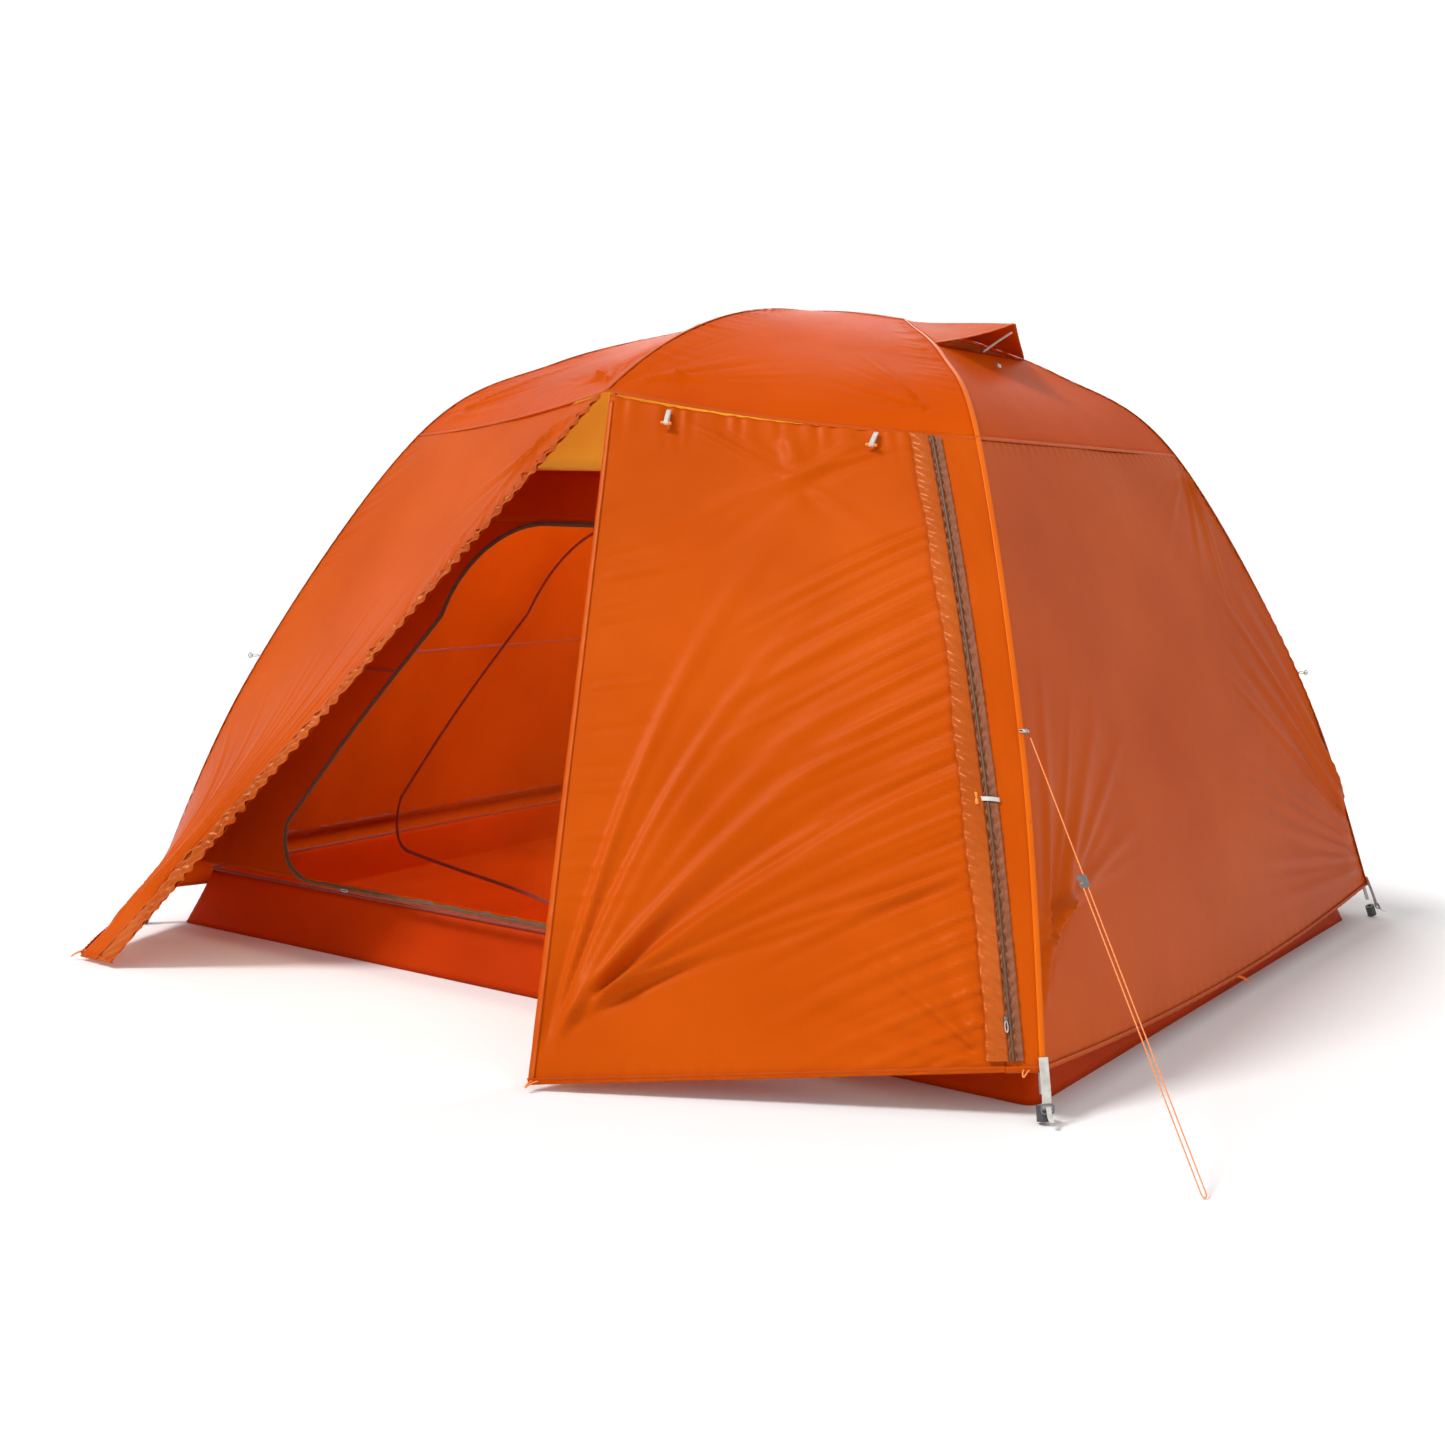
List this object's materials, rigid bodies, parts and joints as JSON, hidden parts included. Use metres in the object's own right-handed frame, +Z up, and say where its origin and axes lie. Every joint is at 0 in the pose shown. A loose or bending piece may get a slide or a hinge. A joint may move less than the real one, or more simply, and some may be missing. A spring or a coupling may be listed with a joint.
{
  "type": "pole dome tent",
  "caption": "Free-standing dome tent on hubbed poles, with a rain fly, two vestibules, an inner tent, a propped roof vent and a guyline.",
  "frame": {"origin": "on the ground, at the middle of the tent's footprint", "axes": "+Z up, +X along the long side towards the vented end, -Y towards the open vestibule"},
  "size_m": [2.9804, 3.201, 1.6607],
  "materials": {
    "pole": "satin drawn tube",
    "hub_plastic": "matte",
    "fly_cap": "satin coated ripstop",
    "fly_side": "satin coated ripstop",
    "inner_wall": "matte woven",
    "netting": "fine mesh",
    "tub_floor": "coated woven",
    "webbing": "woven tape",
    "toggle": "matte",
    "cord": "braided cord",
    "hardware": "matte"
  },
  "bodies": {
    "tent": {"brow_pole": "pole", "corner_strap_far_left": "webbing", "corner_strap_far_right": "webbing", "corner_strap_near_left": "webbing", "corner_strap_near_right": "webbing", "far_vestibule_panel": "fly_side", "far_zip_strip": "fly_side", "fly_cap": "fly_cap", "fly_end_left": "fly_side", "fly_end_right": "fly_side", "foot_far_left": "hardware", "foot_far_right": "hardware", "foot_near_left": "hardware", "foot_near_right": "hardware", "guyline": "cord", "guyout_far_left": "webbing", "guyout_far_right": "webbing", "guyout_near_left": "webbing", "guyout_near_right": "webbing", "hub_left": "hub_plastic", "hub_right": "hub_plastic", "inner_ceiling": "netting", "inner_wall_far": "inner_wall", "inner_wall_left": "inner_wall", "inner_wall_near": "inner_wall", "inner_wall_right": "inner_wall", "leg_lower_far_left": "pole", "leg_lower_far_right": "pole", "leg_lower_near_left": "pole", "leg_lower_near_right": "pole", "leg_upper_far_left": "pole", "leg_upper_far_right": "pole", "leg_upper_near_left": "pole", "leg_upper_near_right": "pole", "near_vestibule_panel": "fly_side", "near_zip_strip": "fly_side", "ridge_pole": "pole", "tub_floor": "tub_floor", "vent_mesh": "netting"},
    "near_awning": {"near_door_panel": "fly_side", "near_rolled_door": "fly_side"},
    "near_toggle_1": {"near_toggle_1": "toggle"},
    "near_toggle_2": {"near_toggle_2": "toggle"},
    "far_awning": {"far_door_panel": "fly_side", "far_door_middle": "fly_side"},
    "far_toggle_1": {"far_toggle_1": "toggle"},
    "far_toggle_2": {"far_toggle_2": "toggle"},
    "near_fly_slider": {"near_fly_zip_slider": "hardware"},
    "far_fly_slider": {"far_fly_zip_slider": "hardware"},
    "near_inner_door_leaf": {"near_inner_door": "netting"},
    "near_inner_slider": {"near_inner_zip_slider": "hardware"},
    "far_inner_door_leaf": {"far_inner_door": "netting"},
    "far_inner_slider": {"far_inner_zip_slider": "hardware"},
    "vent_strut": {"vent_strut": "webbing"},
    "vent_hood": {"vent_hood": "fly_cap"},
    "line_tensioner": {"guyline_tensioner": "hardware"}
  },
  "joints": [
    {"name": "near_awning_lift", "type": "hinge", "parent": "tent", "child": "near_awning", "pos_m": [0.01433, -0.8704, 1.38173], "axis": [-0.949, -0.2982, 0.1028], "range_deg": [0, 65]},
    {"name": "near_toggle_1_twist", "type": "hinge", "parent": "near_awning", "child": "near_toggle_1", "pos_m": [0.16922, -0.86085, 1.32482], "axis": [0.3037, -0.7964, 0.5231], "range_deg": [-90, 90]},
    {"name": "near_toggle_2_twist", "type": "hinge", "parent": "near_awning", "child": "near_toggle_2", "pos_m": [0.62381, -0.71834, 1.28083], "axis": [0.2998, -0.7728, 0.5594], "range_deg": [-90, 90]},
    {"name": "far_awning_lift", "type": "hinge", "parent": "tent", "child": "far_awning", "pos_m": [0.01433, 0.8704, 1.38173], "axis": [0.949, -0.2982, -0.1028], "range_deg": [0, 65]},
    {"name": "far_toggle_1_twist", "type": "hinge", "parent": "far_awning", "child": "far_toggle_1", "pos_m": [0.16922, 0.86085, 1.32482], "axis": [0.3037, 0.7964, 0.5231], "range_deg": [-90, 90]},
    {"name": "far_toggle_2_twist", "type": "hinge", "parent": "far_awning", "child": "far_toggle_2", "pos_m": [0.62381, 0.71834, 1.28083], "axis": [0.2998, 0.7728, 0.5594], "range_deg": [-90, 90]},
    {"name": "near_fly_zip", "type": "hinge", "parent": "tent", "child": "near_fly_slider", "pos_m": [-1.53809, 1.7908, -1.43881], "axis": [-0.7293, -0.6842, -0.0051], "range_deg": [0, 16.6]},
    {"name": "far_fly_zip", "type": "hinge", "parent": "tent", "child": "far_fly_slider", "pos_m": [-1.53809, -1.7908, -1.43881], "axis": [0.7293, -0.6842, 0.0051], "range_deg": [0, 16.6]},
    {"name": "near_inner_door_swing", "type": "hinge", "parent": "tent", "child": "near_inner_door_leaf", "pos_m": [0.42, -0.62, 0.6], "axis": [0, 0, -1], "range_deg": [-20, 18]},
    {"name": "near_inner_zip", "type": "slide", "parent": "tent", "child": "near_inner_slider", "axis": [1, 0, 0], "range_m": [0, 0.95]},
    {"name": "far_inner_door_swing", "type": "hinge", "parent": "tent", "child": "far_inner_door_leaf", "pos_m": [0.42, 0.62, 0.6], "axis": [0, 0, 1], "range_deg": [0, 38]},
    {"name": "far_inner_zip", "type": "slide", "parent": "tent", "child": "far_inner_slider", "axis": [1, 0, 0], "range_m": [0, 0.95]},
    {"name": "vent_strut_fold", "type": "hinge", "parent": "tent", "child": "vent_strut", "pos_m": [0.53, 0, 1.542], "axis": [0, 1, 0], "range_deg": [0, 48]},
    {"name": "vent_hood_drop", "type": "hinge", "parent": "tent", "child": "vent_hood", "pos_m": [0.335, 0, 1.636], "axis": [0, 1, 0], "range_deg": [0, 9.6]},
    {"name": "guyline_tension", "type": "slide", "parent": "tent", "child": "line_tensioner", "axis": [0.5557, -0.3894, -0.7346], "range_m": [0, 0.45]}
  ],
  "couplings": [
    {"joint": "vent_hood_drop", "follows": "vent_strut_fold", "ratio": 0.2}
  ]
}
